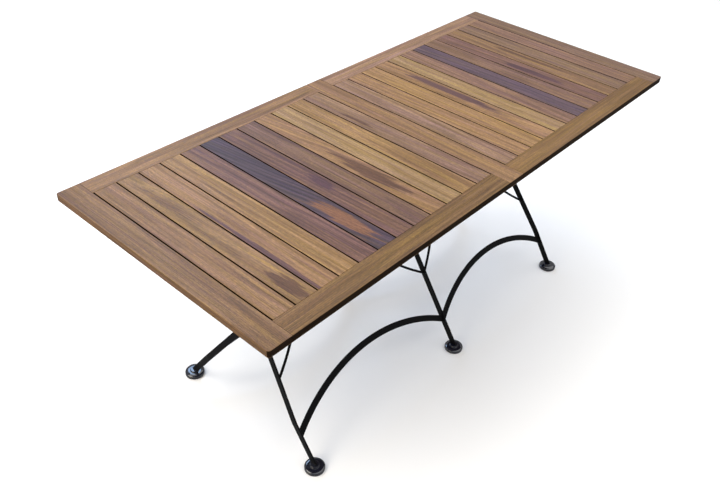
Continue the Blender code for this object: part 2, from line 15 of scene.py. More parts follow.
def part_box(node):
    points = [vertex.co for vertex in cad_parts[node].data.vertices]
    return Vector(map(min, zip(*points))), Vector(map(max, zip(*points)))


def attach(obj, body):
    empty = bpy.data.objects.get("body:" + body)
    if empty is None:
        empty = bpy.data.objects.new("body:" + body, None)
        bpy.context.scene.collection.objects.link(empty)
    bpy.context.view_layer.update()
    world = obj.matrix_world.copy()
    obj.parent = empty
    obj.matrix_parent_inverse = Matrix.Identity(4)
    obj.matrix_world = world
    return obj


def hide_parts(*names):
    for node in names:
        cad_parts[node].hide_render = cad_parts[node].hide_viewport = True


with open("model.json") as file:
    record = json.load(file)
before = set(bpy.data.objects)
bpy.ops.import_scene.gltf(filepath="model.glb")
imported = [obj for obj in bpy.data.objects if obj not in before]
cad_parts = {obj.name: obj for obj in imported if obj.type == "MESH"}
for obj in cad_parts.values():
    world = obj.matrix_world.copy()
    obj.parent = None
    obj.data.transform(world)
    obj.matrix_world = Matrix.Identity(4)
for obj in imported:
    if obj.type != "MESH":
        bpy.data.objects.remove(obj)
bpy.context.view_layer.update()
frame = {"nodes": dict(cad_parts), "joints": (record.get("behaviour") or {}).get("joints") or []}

# Sizes the frame gives --------------------------------------------------------------

JOINTS = {joint["name"]: joint for joint in frame["joints"]}
PIVOT = np.array(JOINTS["leg_scissor"]["pos_m"], float)
HINGE = np.array(JOINTS["top_tilt"]["pos_m"], float)
LEAN = math.atan2(HINGE[1], HINGE[2] - PIVOT[2])
SIDES = ("left", "middle", "right")
SLATS = [f"slat_{i:02d}" for i in range(1, 25)]


def box_of(node):
    """The lowest and highest corners of a frame node, as arrays."""
    low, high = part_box(node)
    return np.array(low, float), np.array(high, float)


# Sizes of the finish ----------------------------------------------------------------

BOARD_EASE = 0.0009          # rounding along the boards' edges
CORNER_LEAST = 0.0004        # what is left of a corner's radius once it is eased away
OUTER_CORNER = 0.006         # radius of the top's four corners, seen from above
# The next is painted shade: the long outer sides of the top are coloured darker, as if out of
# the light
EDGE_SHADE = 0.92              # how dark the long outer edges are, 1 being as dark as a gap
LEAD = 0.0006                # from a curve's end to the point that keeps the flat flat
FACE_RING = 1.1              # inset of the ring that keeps a face flat, in easings
JUST_SHORT = 0.999           # keeps two rings at one place a hair apart
TONGUE_LENGTH = 0.010
TONGUE_THICKNESS = 0.006
FIT = 0.0003                 # gap left between pieces that touch

BAR_WIDTH = 0.020            # flat steel stock
BAR_THICKNESS = 0.005
BAR_EDGE = 0.0009            # rounding along its edges
BAR_LEAD = 0.0004
BAR_FLAT = 0.0011            # the longest step across a leg's flat, so that its ends can curve
LEG_TILT = math.radians(6.2)    # end legs lean in above the bend
BEND_HEIGHT = 0.1425         # up the leg, from the foot
BEND_RADIUS = 0.060
ARCH_HEIGHT = 0.103          # up the leg, to the middle of the arch's end
ARCH_RISE = 0.1015
RAIL_RADIUS = 0.006
RAIL_END_EASE = 0.0015
RAIL_END_FLAT = 0.0005       # how far in the last ring of a rail's end face lies
BRACE_RADIUS = 0.004
BRACE_HEIGHT = 0.276         # up the leg, to where a brace leaves it
BRACE_GAP = 0.050            # between two braces where they meet the rail
BRACE_SINK = 0.0004          # how far a brace's end is sunk in the rail
LEG_SINK = 0.001             # how far a leg's cut end is sunk in its foot
WELD_RADIUS = 0.0014
BRACE_WELD_RADIUS = 0.0011
WELD_PITCH = 0.0032          # between two ripples of a bead
WELD_RIPPLE = 0.16           # how much a ripple swells, as a share of the bead

FOOT_RIM = 0.008             # height of the rim
FOOT_DOME = 0.013            # height of the dome, where the hub stands on it
FOOT_BASE_EDGE = 0.0009
FOOT_CROWN_RADIUS = 0.016
HUB_RADIUS = 0.0135
HUB_FILLET = 0.0012
HUB_FLAT = 0.72              # the top's last ring, as a share of the hub's radius
FOOT_HOLE_RADIUS = 0.0022
FOOT_HOLE_OFFSET = 0.0205
FOOT_SLACK = 0.0003          # keeps the feet that meet when the frames close just apart
DRILL_TURN = math.radians(4.5)    # so that no corner of the drill lies on a foot's edge
DRILL_REACH = (-0.01, 0.04)
FOOT_SHARP = 50.0            # the angle past which an edge of a foot stays sharp, in degrees

BOLT_RADIUS = 0.004
BOLT_HEAD_RADIUS = 0.0085
BOLT_HEAD_HEIGHT = 0.0045
BOLT_HEAD_EDGE = 0.0009      # the head's upright side, below its dome
BOLT_HEAD_CHAMFER = 0.0003
BOLT_END = 0.002             # thread showing past the nut
NUT_FLATS = 0.013
NUT_HEIGHT = 0.0065
# From the nut's face inwards: (distance, the cone's radius in halves of the flats).
NUT_CONE = ((0.0, 0.97), (0.0005, 1.05), (0.0011, 1.16))
SPACER_WALL = 0.0025
SPACER_EDGE = 0.0004
SPACER_LEAD = 0.0002
THREAD_PITCH = 0.001
THREAD_DEPTH = 0.0005

FOOT_REACH = (PIVOT[2] - FOOT_DOME) / math.cos(LEAN)
RAIL_REACH = (HINGE[2] - PIVOT[2]) / math.cos(LEAN)

# Mesh making ------------------------------------------------------------------------


def loft_faces(rows, around):
    """Quads between each ring and the next, wound so that they face out."""
    row = np.arange(rows - 1)[:, None] * around
    here = np.arange(around)[None, :]
    after = (here + 1) % around
    quads = np.stack([row + here, row + after, row + around + after, row + around + here], -1)
    return quads.reshape(-1, 4)


def ladder_faces(around, offset):
    """Quads across one ring from each point to the one that mirrors it."""
    step = np.arange(around // 2 - 1)
    return np.stack([step, step + 1, around - 2 - step, around - 1 - step], -1) + offset


def joining_faces(rows, around):
    """Quads from the last ring back to the first, for a skin that closes on itself."""
    last = (rows - 1) * around
    step = np.arange(around)
    after = (step + 1) % around
    return np.stack([last + step, last + after, after, step], -1)


def closed_skin(rings, laddered=False):
    """Points and faces of rings (rows, around, 3) joined up and shut at both ends.

    An end is one flat face, or a ladder of quads where the end isn't flat.
    """
    rows, around = rings.shape[:2]
    faces = loft_faces(rows, around).tolist()
    last = (rows - 1) * around
    if laddered:
        faces += ladder_faces(around, 0)[:, ::-1].tolist()
        faces += ladder_faces(around, last).tolist()
    else:
        faces.append(list(range(around))[::-1])
        faces.append(list(range(last, last + around)))
    return rings.reshape(-1, 3), faces


def looped_skin(rings):
    """Points and faces of rings (rows, around, 3) whose last joins the first."""
    rows, around = rings.shape[:2]
    faces = np.concatenate([loft_faces(rows, around), joining_faces(rows, around)])
    return rings.reshape(-1, 3), faces.tolist()


def joined(*parts):
    """Several (points, faces) as one, each keeping its own skin."""
    points = []
    faces = []
    count = 0
    for part_points, part_faces in parts:
        points.append(part_points)
        faces += [[index + count for index in face] for face in part_faces]
        count += len(part_points)
    return np.concatenate(points), faces


# How many numbers a mark has at each point: its kind of attribute, and the field's name.
MARK_KINDS = {1: ("FLOAT", "value"), 3: ("FLOAT_VECTOR", "vector"), 4: ("FLOAT_COLOR", "color")}


def finished(name, skin, material, body, node, marks=None, sharp=38.0):
    """A mesh object from (points, faces), riding on a body and standing for its node.

    marks are attributes by name, and sharp is the angle in degrees past which an edge
    between two faces isn't smoothed.
    """
    points, faces = skin
    mesh = bpy.data.meshes.new(name)
    mesh.from_pydata(points.tolist(), [], faces)
    mesh.materials.append(material)
    for key, values in (marks or {}).items():
        kind, field = MARK_KINDS[values.size // len(values)]
        layer = mesh.attributes.new(key, kind, "POINT")
        layer.data.foreach_set(field, np.ascontiguousarray(values, np.float32).ravel())
    mesh.shade_smooth()
    mesh.set_sharp_from_angle(angle=math.radians(sharp))
    piece = bpy.data.objects.new(name, mesh)
    bpy.context.scene.collection.objects.link(piece)
    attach(piece, body)
    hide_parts(node)


# Profiles ---------------------------------------------------------------------------


def square_turns(corners, radii, inset=0.0, steps=4, lead=LEAD):
    """A closed outline whose corners are all right angles, each rounded.

    corners is (..., k, 2), anticlockwise, and radii and inset broadcast against it.
    A convex corner moves in by the inset along both its sides and its radius shrinks by
    as much; a concave one does the opposite.  A point on the arc is its centre less
    radius times (next side * cos t + previous side * sin t), with t from 0 to a quarter.
    """
    corners = np.asarray(corners, float)
    radii = np.asarray(radii, float)
    to_last = np.roll(corners, 1, -2) - corners
    to_next = np.roll(corners, -1, -2) - corners
    to_last /= np.linalg.norm(to_last, axis=-1, keepdims=True)
    to_next /= np.linalg.norm(to_next, axis=-1, keepdims=True)
    # Travelling anticlockwise, a convex corner turns left.
    turn = np.sign(-to_last[..., 0] * to_next[..., 1] + to_last[..., 1] * to_next[..., 0])
    centre = corners + (to_last + to_next) * radii[..., None]
    radius = (radii - turn * np.asarray(inset, float)[..., None])[..., None, None]
    t = np.linspace(0.0, math.pi / 2, steps + 1)[:, None]
    arc = to_next[..., None, :] * np.cos(t) + to_last[..., None, :] * np.sin(t)
    arc = centre[..., None, :] - radius * arc
    first = arc[..., :1, :] + to_last[..., None, :] * lead
    final = arc[..., -1:, :] + to_next[..., None, :] * lead
    ring = np.concatenate([first, arc, final], -2)
    return ring.reshape(*ring.shape[:-3], -1, 2)


def rectangle(half_a, half_b):
    return np.array([(half_a, half_b), (-half_a, half_b), (-half_a, -half_b), (half_a, -half_b)])


def circle(radius, around, start=0.0):
    turn = start + math.tau * np.arange(around) / around
    return radius * np.stack([np.cos(turn), np.sin(turn)], -1)


def eased_end(ease, steps=4):
    """(inset, distance back from the end) down a quarter round, from the side to the end."""
    t = np.linspace(0.0, math.pi / 2, steps + 1)
    return ease * (1 - np.cos(t)), ease * (1 - np.sin(t))


def with_flats(ring, longest):
    """A closed (n, 2) outline with points added wherever a side is over that length."""
    loop = np.vstack([ring, ring[:1]])
    reach = np.r_[0.0, np.cumsum(np.linalg.norm(np.diff(loop, axis=0), axis=1))]
    counts = np.maximum(np.ceil(np.diff(reach) / longest).astype(int), 1)
    spots = [np.linspace(a, b, n, endpoint=False) for a, b, n in zip(reach, reach[1:], counts)]
    spots = np.concatenate(spots)
    return np.stack([np.interp(spots, reach, loop[:, i]) for i in (0, 1)], -1)


# Timber -----------------------------------------------------------------------------

# Each tone is the pale colour between the growth lines and the deep one in them.
TONES = {
    "honey": ((0.311, 0.204, 0.089), (0.164, 0.094, 0.037)),
    "gold": ((0.274, 0.165, 0.065), (0.136, 0.071, 0.025)),
    "olive": ((0.185, 0.105, 0.035), (0.099, 0.050, 0.015)),
    "tan": ((0.265, 0.154, 0.068), (0.131, 0.067, 0.029)),
    "rose": ((0.248, 0.152, 0.086), (0.121, 0.064, 0.038)),
    "russet": ((0.203, 0.116, 0.068), (0.088, 0.044, 0.029)),
    "plum": ((0.169, 0.090, 0.057), (0.067, 0.031, 0.025)),
    "dark": ((0.094, 0.058, 0.065), (0.026, 0.015, 0.022)),
}
# Colours of the stray streaks.
UMBER = (0.070, 0.030, 0.018)
VIOLET = (0.060, 0.026, 0.036)
EMBER = (0.170, 0.074, 0.034)

# For a board whose streaks gather nowhere.
EVEN = ((0.0, 0.0), (1.0, 1.0))
FAR_OFF = 9.0

# The first board of each sort draws its chances from this seed, the next from one more.
SLAT_SEED = 100
LONG_RAIL_SEED = 300
CROSS_RAIL_SEED = 400

# Slats from the left: tone, its shade, colour of the stray streaks, how much of them, how
# far the grain slants, and where they gather: ((across, along) in halves of the board,
# reach in metres across and along).
SLAT_TIMBER = (
    ("tan", 0.92, UMBER, 0.12, 0.00, EVEN),
    ("gold", 0.87, UMBER, 0.30, 0.05, ((0.1, -0.80), (0.030, 0.090))),
    ("tan", 1.01, VIOLET, 0.34, 0.00, ((-0.8, -0.40), (0.014, 0.330))),
    ("gold", 1.01, UMBER, 0.08, 0.01, EVEN),
    ("plum", 1.02, VIOLET, 0.25, 0.02, EVEN),
    ("dark", 0.82, EMBER, 0.30, 0.16, ((0.0, -0.60), (0.034, 0.150))),
    ("plum", 0.98, VIOLET, 0.32, 0.05, ((0.3, -0.10), (0.020, 0.090))),
    ("russet", 0.85, UMBER, 0.15, 0.00, EVEN),
    ("tan", 1.03, UMBER, 0.30, 0.12, ((0.0, -0.30), (0.034, 0.220))),
    ("honey", 0.96, UMBER, 0.05, 0.00, EVEN),
    ("gold", 1.04, UMBER, 0.08, -0.02, EVEN),
    ("rose", 0.98, UMBER, 0.22, 0.03, ((-0.4, 0.35), (0.012, 0.120))),
    ("rose", 1.04, UMBER, 0.08, 0.00, EVEN),
    ("tan", 1.09, UMBER, 0.10, 0.01, EVEN),
    ("gold", 1.17, UMBER, 0.08, 0.00, EVEN),
    ("tan", 1.10, VIOLET, 0.35, 0.06, ((0.2, 0.10), (0.026, 0.280))),
    ("honey", 0.99, UMBER, 0.05, 0.00, EVEN),
    ("russet", 1.15, VIOLET, 0.22, -0.03, EVEN),
    ("dark", 1.35, VIOLET, 0.25, 0.02, EVEN),
    ("russet", 1.01, UMBER, 0.20, 0.00, EVEN),
    ("plum", 1.14, VIOLET, 0.30, 0.04, ((-0.2, -0.20), (0.020, 0.140))),
    ("tan", 0.90, UMBER, 0.25, -0.04, ((0.4, 0.00), (0.012, 0.260))),
    ("rose", 0.85, UMBER, 0.20, 0.00, EVEN),
    ("russet", 1.17, UMBER, 0.12, 0.01, EVEN),
)
# Rails, by node: the same.
RAIL_TIMBER = {
    "long_rail_front_left": ("olive", 0.93, UMBER, 0.06, 0.00, EVEN),
    "long_rail_front_right": ("olive", 1.08, UMBER, 0.08, 0.00, EVEN),
    "long_rail_rear_left": ("tan", 0.90, UMBER, 0.06, 0.00, EVEN),
    "long_rail_rear_right": ("rose", 1.17, UMBER, 0.06, 0.00, EVEN),
    "end_rail_left": ("tan", 0.76, VIOLET, 0.10, 0.01, EVEN),
    "centre_rail": ("tan", 0.96, UMBER, 0.10, -0.02, EVEN),
    "end_rail_right": ("rose", 0.80, UMBER, 0.12, 0.00, EVEN),
}


def timber_marks(points, along, tone, shade, streak, amount, slant, gathered, seed):
    """Attributes that the timber material reads, for one board.

    grain is the point seen from a growth centre of the board's own, below it and to one
    side: across, along and down, in metres.  The centre drifts with the length, so that
    the growth lines run out at the surface.  spot is the point seen from where the streaks
    gather, in reaches of theirs.  sunk is how far the point is below the top face.
    """
    chance = np.random.default_rng(seed)
    across = 1 - along
    low, high = points.min(0), points.max(0)
    local = points - (low + high) / 2
    half = (high - low) / 2
    grain = np.empty_like(points)
    drift = chance.uniform(-0.02, 0.02)
    shift = chance.uniform(-0.05, 0.05)
    depth = chance.uniform(0.035, 0.11)
    start = chance.uniform(3.0, 60.0)
    grain[:, 0] = local[:, across] + shift + (slant + 0.2 * drift) * local[:, along]
    grain[:, 1] = local[:, along] + start
    grain[:, 2] = local[:, 2] + depth + drift * local[:, along]
    (aside, ahead), (wide, long) = gathered
    spot = np.zeros_like(points)
    spot[:, 0] = (local[:, across] - aside * half[across]) / wide
    spot[:, 1] = (local[:, along] - ahead * half[along]) / long
    if gathered is EVEN:
        spot[:, 2] = FAR_OFF
    pale, deep = np.array(TONES[tone]) * shade
    whole = np.ones((len(points), 1))
    return {
        "grain": grain,
        "spot": spot,
        "sunk": high[2] - points[:, 2],
        "pale": whole * np.array((*pale, 1.0)),
        "deep": whole * np.array((*deep, 1.0)),
        "streak": whole * np.array((*streak, amount)),
    }


def beside_gap(points, inner):
    """1 on the points whose side of the board faces another board, 0 on its outer sides.

    inner holds, for each side (-x, +x, -y, +y), whether it faces a board.  The mark sets how
    much
    painted shade goes down that side.  The outer sides along the table's length are not left at
    0:
    they get nearly a gap's painted shade, so they are darker than its ends.
    """
    shade_by_axis = (0.0, EDGE_SHADE)
    low, high = points.min(0), points.max(0)
    limits = (low[0], high[0], low[1], high[1])
    mark = np.ones(len(points))
    for side, (faces_board, limit) in enumerate(zip(inner, limits)):
        axis = side // 2
        if not faces_board:
            mark[np.abs(points[:, axis] - limit) < OUTER_CORNER * 1.01] = shade_by_axis[axis]
    return mark


def slat_skin(low, high):
    """A slat along Y: rounded rectangles carried along it, then a thinner tongue each end."""
    half_x = (high[0] - low[0]) / 2
    half_z = (high[2] - low[2]) / 2
    body = (high[1] - low[1]) / 2 - TONGUE_LENGTH
    inset, back = eased_end(BOARD_EASE)
    radius = BOARD_EASE + CORNER_LEAST
    sides = square_turns(rectangle(half_z, half_x), np.full(4, radius), inset)
    tongue = square_turns(rectangle(TONGUE_THICKNESS / 2, half_x - BOARD_EASE),
                          np.full(4, CORNER_LEAST))
    near_end = square_turns(rectangle(half_z, half_x), np.full(4, radius),
                            BOARD_EASE * JUST_SHORT)
    rows = [sides[0], *sides, near_end, tongue, tongue]
    reach = np.r_[body - BOARD_EASE - LEAD, body - back, body, body, body + TONGUE_LENGTH]
    rings = np.concatenate([np.stack(rows[::-1]), np.stack(rows)])
    place = np.concatenate([-reach[::-1], reach])
    points = np.empty((*rings.shape[:2], 3))
    points[..., 0] = rings[..., 1]
    points[..., 1] = place[:, None]
    points[..., 2] = rings[..., 0]
    points += (low + high) / 2
    return closed_skin(points)


def long_rail_skin(low, high, inward):
    """A long rail: a grooved outline in Y and Z, carried along X.  inward is +1 or -1."""
    groove = TONGUE_LENGTH + 2 * FIT
    half = TONGUE_THICKNESS / 2 + FIT
    deep = high[2] - low[2]
    width = high[1] - low[1]
    middle = -deep / 2
    outline = np.array([
        (0.0, 0.0), (0.0, -deep), (width, -deep), (width, middle - half),
        (width - groove, middle - half), (width - groove, middle + half),
        (width, middle + half), (width, 0.0)])
    radii = np.full(8, BOARD_EASE)
    radii[4:6] = CORNER_LEAST
    radii[[3, 6]] = CORNER_LEAST * 2
    ring = square_turns(outline, radii)
    if inward < 0:
        ring = np.stack([width - ring[:, 0], ring[:, 1]], -1)[::-1]
    ends = np.array([low[0], low[0] + LEAD, high[0] - LEAD, high[0]])
    points = np.empty((4, len(ring), 3))
    points[..., 0] = ends[:, None]
    points[..., 1] = ring[:, 0] + low[1]
    points[..., 2] = ring[:, 1] + high[2]
    return closed_skin(points)


def cross_rail_skin(low, high, outer):
    """A board across the width, eased all round its top and bottom faces.

    outer is -1 or +1 for the table's left or right end, and 0 for the centre.
    The plan outline is a rectangle with its own radius at each corner; rings of it climb
    a quarter round from the bottom face to the side and another to the top face.
    """
    half = (high - low) / 2
    tight = BOARD_EASE + CORNER_LEAST
    radii = np.full(4, tight)
    if outer > 0:
        radii[[0, 3]] = OUTER_CORNER
    if outer < 0:
        radii[[1, 2]] = OUTER_CORNER
    inset, back = eased_end(BOARD_EASE)
    # One more ring on each face keeps the face flat.
    inset = np.r_[0.0, inset, BOARD_EASE * FACE_RING]
    back = np.r_[BOARD_EASE + LEAD, back, 0.0]
    climb = np.r_[-half[2] + back[::-1], half[2] - back]
    rings = square_turns(rectangle(half[0], half[1]), radii, np.r_[inset[::-1], inset])
    points = np.empty((*rings.shape[:2], 3))
    points[..., :2] = rings
    points[..., 2] = climb[:, None]
    points += (low + high) / 2
    return closed_skin(points)


# Steelwork --------------------------------------------------------------------------


def from_leg_frame(points, frame_name):
    """Points drawn flat in a leg frame, leaned back, and turned half round for the rear."""
    place = Matrix.Rotation(-LEAN, 3, "X")
    if frame_name == "rear":
        place = Matrix.Rotation(math.pi, 3, "Z") @ place
    return points @ np.array(place).T + PIVOT


def tangents(path):
    along = np.gradient(path, axis=0)
    return along / np.linalg.norm(along, axis=1, keepdims=True)


def swept(path, ring, along=None):
    """An outline carried along a flat path of (x, z) points.

    A point is path + side * a + Y * b, where side is the path's own normal in its plane.
    """
    along = tangents(path) if along is None else along
    side = np.stack([along[:, 1], -along[:, 0]], -1)
    points = np.empty((len(path), len(ring), 3))
    points[..., 0] = path[:, :1] + side[:, :1] * ring[:, 0]
    points[..., 1] = ring[:, 1]
    points[..., 2] = path[:, 1:] + side[:, 1:] * ring[:, 0]
    return points


def slide_to_plane(ring, along, point, normal):
    """A ring moved along one direction until each of its points lies on a plane."""
    along = np.asarray(along, float)
    distance = (np.asarray(point) - ring) @ normal / (along @ normal)
    return ring + distance[:, None] * along


def weld_bead(loop, radius=WELD_RADIUS):
    """A rippled bead along a closed loop of points.

    The bead's radius swells and shrinks as a sine of the distance along the loop.
    """
    closed = np.vstack([loop, loop[:1]])
    reach = np.r_[0.0, np.cumsum(np.linalg.norm(np.diff(closed, axis=0), axis=1))]
    count = max(int(reach[-1] / (WELD_PITCH / 4)), 16)
    spots = np.linspace(0.0, reach[-1], count, endpoint=False)
    line = np.stack([np.interp(spots, reach, closed[:, i]) for i in range(3)], -1)
    along = np.roll(line, -1, 0) - np.roll(line, 1, 0)
    along /= np.linalg.norm(along, axis=1, keepdims=True)
    out = line - line.mean(0)
    out -= along * np.sum(out * along, 1, keepdims=True)
    out /= np.linalg.norm(out, axis=1, keepdims=True)
    third = np.cross(along, out)
    ripples = max(round(reach[-1] / WELD_PITCH), 3)
    swell = radius * (1 + WELD_RIPPLE * np.sin(math.tau * ripples * np.arange(count) / count))
    turn = circle(1.0, 8)
    ring = out[:, None] * turn[:, :1] + third[:, None] * turn[:, 1:]
    return looped_skin(line[:, None] + ring * swell[:, None, None])


def flat_bar(half_side, half_through):
    return square_turns(rectangle(half_side, half_through), np.full(4, BAR_EDGE), lead=BAR_LEAD)


def leg_places():
    """(x at the foot, which way it leans in above the bend) for the drawn frame's legs."""
    places = []
    for side, tilt in zip(SIDES, (1, 0, -1)):
        low, high = box_of(f"foot_front_{side}")
        places.append(((low[0] + high[0]) / 2, tilt))
    return places


LEGS = leg_places()


def leg_x(index, height):
    x, tilt = LEGS[index]
    return x + tilt * max(height - BEND_HEIGHT, 0.0) * math.tan(LEG_TILT)


def leg_path(index, bottom):
    """Straight up from the foot, round the bend, then on to the rail at the tilt."""
    x, tilt = LEGS[index]
    if tilt == 0:
        rise = np.linspace(bottom, RAIL_REACH, 12)
        return np.stack([np.full(12, x), rise], -1)
    bend = BEND_HEIGHT - FOOT_REACH - BEND_RADIUS * math.tan(LEG_TILT / 2)
    t = np.linspace(0.0, LEG_TILT, 9)
    curve = np.stack([x + tilt * BEND_RADIUS * (1 - np.cos(t)),
                      bend + BEND_RADIUS * np.sin(t)], -1)
    lower = np.stack([np.full(5, x), np.linspace(bottom, bend, 5, endpoint=False)], -1)
    rise = np.linspace(curve[-1, 1], RAIL_REACH, 11)[1:]
    upper = np.stack([curve[-1, 0] + tilt * (rise - curve[-1, 1]) * math.tan(LEG_TILT),
                      rise], -1)
    return np.concatenate([lower, curve, upper])


def leg_skin(index):
    """A leg, cut level above its foot and hollowed to sit against the round rail."""
    ring = with_flats(flat_bar(BAR_THICKNESS / 2, BAR_WIDTH / 2), BAR_FLAT)
    # The ring starts in the middle of one short side, so that its ends ladder across.
    shift = int(np.argmax(ring[:, 1] + 1e-6 * ring[:, 0]))
    ring = np.roll(ring, -shift, 0)
    bottom = -FOOT_REACH - BAR_WIDTH / 4
    path = leg_path(index, bottom)
    points = swept(path, ring)
    up = np.array([0.0, -math.sin(LEAN), math.cos(LEAN)])
    _, tilt = LEGS[index]
    cut = box_of("foot_front_middle")[1][2] - PIVOT[2] - LEG_SINK
    points[0] = slide_to_plane(points[0], (0, 0, 1), up * cut, up)
    along = np.array([tilt * math.sin(LEG_TILT), 0.0, math.cos(LEG_TILT if tilt else 0.0)])
    over = np.clip(np.abs(points[-1, :, 1]) / RAIL_RADIUS, 0.0, 1.0)
    level = RAIL_REACH - RAIL_RADIUS * np.sqrt(1 - over ** 2)
    points[-1] += ((level - points[-1, :, 2]) / along[2])[:, None] * along
    return points


def arch_skin(left, right):
    """An arch between two legs: the bar's outline carried round an arc of a circle."""
    low = leg_x(left, ARCH_HEIGHT) + BAR_THICKNESS / 2 + FIT
    high = leg_x(right, ARCH_HEIGHT) - BAR_THICKNESS / 2 - FIT
    half_span = (high - low) / 2
    radius = (half_span ** 2 + ARCH_RISE ** 2) / (2 * ARCH_RISE)
    centre = np.array([(low + high) / 2, ARCH_HEIGHT - FOOT_REACH + ARCH_RISE - radius])
    spread = math.asin(half_span / radius)
    turn = np.linspace(-spread, spread, 72)
    path = centre + radius * np.stack([np.sin(turn), np.cos(turn)], -1)
    along = np.stack([np.cos(turn), -np.sin(turn)], -1)
    ring = flat_bar(BAR_WIDTH / 2, BAR_THICKNESS / 2)
    points = swept(path, ring, along)
    for end, side in ((0, low), (-1, high)):
        direction = np.array([along[end, 0], 0.0, along[end, 1]])
        points[end] = slide_to_plane(points[end], direction, (side, 0, 0), np.array([1.0, 0, 0]))
    return points


def brace_foot(index, side):
    face = BAR_THICKNESS / 2 / math.cos(LEG_TILT) + FIT
    return leg_x(index, BRACE_HEIGHT) + side * face, BRACE_HEIGHT - FOOT_REACH


def brace_skin(index, side, run):
    """A rod on an arc that leaves a leg and meets the rail square."""
    rise = RAIL_REACH + FOOT_REACH - BRACE_HEIGHT
    turn = 2 * math.atan(run / rise)
    radius = rise / math.sin(turn)
    x, z = brace_foot(index, side)
    angle = turn * (1 - np.linspace(0.0, 1.0, 28))
    path = np.stack([x + side * radius * (np.cos(angle) - math.cos(turn)),
                     z + radius * (math.sin(turn) - np.sin(angle))], -1)
    along = np.stack([side * np.sin(angle), np.cos(angle)], -1)
    points = swept(path, circle(BRACE_RADIUS, 16), along)
    _, tilt = LEGS[index]
    away = np.array([-side * math.cos(LEG_TILT * tilt), 0.0, side * math.sin(LEG_TILT * tilt)])
    direction = np.array([along[0, 0], 0.0, along[0, 1]])
    points[0] = slide_to_plane(points[0], direction, (x, 0.0, z), away)
    surface = RAIL_REACH - np.sqrt(RAIL_RADIUS ** 2 - points[-1, :, 1] ** 2)
    points[-1, :, 2] = surface + BRACE_SINK
    return points


def rail_skin(low_x, high_x):
    """The round rail, with a small round at each end."""
    inset, back = eased_end(RAIL_END_EASE)
    radius = RAIL_RADIUS - np.r_[0.0, inset, RAIL_END_EASE + RAIL_END_FLAT]
    reach = np.r_[RAIL_END_EASE + LEAD, back, 0.0]
    radius = np.r_[radius[::-1], radius]
    x = np.r_[low_x + reach[::-1], high_x - reach]
    ring = circle(1.0, 28)
    points = np.empty((len(x), len(ring), 3))
    points[..., 0] = x[:, None]
    points[..., 1] = radius[:, None] * ring[:, 0]
    points[..., 2] = RAIL_REACH + radius[:, None] * ring[:, 1]
    return closed_skin(points)


# Feet -------------------------------------------------------------------------------


def foot_profile():
    """(radius, height) up the outside of a foot: base, rim, dome, hub and its top."""
    low, high = box_of("foot_front_middle")
    radius = (high[0] - low[0]) / 2 - FOOT_SLACK
    top = high[2]
    t = np.linspace(0.0, math.pi / 2, 15)
    dome = np.stack([FOOT_CROWN_RADIUS + (radius - FOOT_CROWN_RADIUS) * np.cos(t),
                     FOOT_RIM + (FOOT_DOME - FOOT_RIM) * np.sin(t)], -1)
    t = np.linspace(0.0, math.pi / 2, 5)
    quarter = np.stack([np.sin(t), -np.cos(t)], -1)
    edge = (radius - FOOT_BASE_EDGE, FOOT_BASE_EDGE) + FOOT_BASE_EDGE * quarter
    corner = (HUB_RADIUS + HUB_FILLET, FOOT_DOME + HUB_FILLET) + HUB_FILLET * quarter * (-1, 1)
    crown = (HUB_RADIUS - HUB_FILLET, top - HUB_FILLET) + HUB_FILLET * quarter[::-1] * (1, -1)
    first = (radius - FOOT_BASE_EDGE - LEAD, 0.0)
    final = (HUB_RADIUS * HUB_FLAT, top)
    return np.concatenate([[first], edge, dome, corner, crown, [final]])


def foot_skin():
    """The profile turned about the foot's own upright line."""
    profile = foot_profile()
    ring = circle(1.0, 64)
    points = np.empty((len(profile), len(ring), 3))
    points[..., 0] = profile[:, :1] * ring[:, 0]
    points[..., 1] = profile[:, :1] * ring[:, 1]
    points[..., 2] = profile[:, 1:]
    return closed_skin(points)


def drilled(skin, centre, radius):
    """The skin with an upright round hole through it, as new (points, faces)."""
    bar = np.empty((2, 20, 3))
    bar[..., :2] = circle(radius, 20, DRILL_TURN) + np.array(centre)
    bar[..., 2] = np.array(DRILL_REACH)[:, None]
    meshes = []
    for name, (points, faces) in (("blank", skin), ("drill", closed_skin(bar))):
        mesh = bpy.data.meshes.new(name)
        mesh.from_pydata(points.tolist(), [], faces)
        meshes.append(mesh)
    blank, drill = (bpy.data.objects.new(mesh.name, mesh) for mesh in meshes)
    for item in (blank, drill):
        bpy.context.scene.collection.objects.link(item)
    cut = blank.modifiers.new("hole", "BOOLEAN")
    cut.operation = "DIFFERENCE"
    cut.object = drill
    cut.solver = "EXACT"
    bpy.context.view_layer.update()
    cut_blank = blank.evaluated_get(bpy.context.evaluated_depsgraph_get())
    result = bpy.data.meshes.new_from_object(cut_blank)
    points = np.empty(len(result.vertices) * 3)
    result.vertices.foreach_get("co", points)
    faces = [list(face.vertices) for face in result.polygons]
    for item in (blank, drill):
        bpy.data.objects.remove(item, do_unlink=True)
    for mesh in (*meshes, result):
        bpy.data.meshes.remove(mesh)
    return points.reshape(-1, 3), faces


# Pivot bolts ------------------------------------------------------------------------


def turned(profile, around=48):
    """(radius, distance) pairs turned about X."""
    ring = circle(1.0, around)
    points = np.empty((len(profile), around, 3))
    points[..., 0] = profile[:, 1:]
    points[..., 1] = profile[:, :1] * ring[:, 0]
    points[..., 2] = profile[:, :1] * ring[:, 1]
    return points


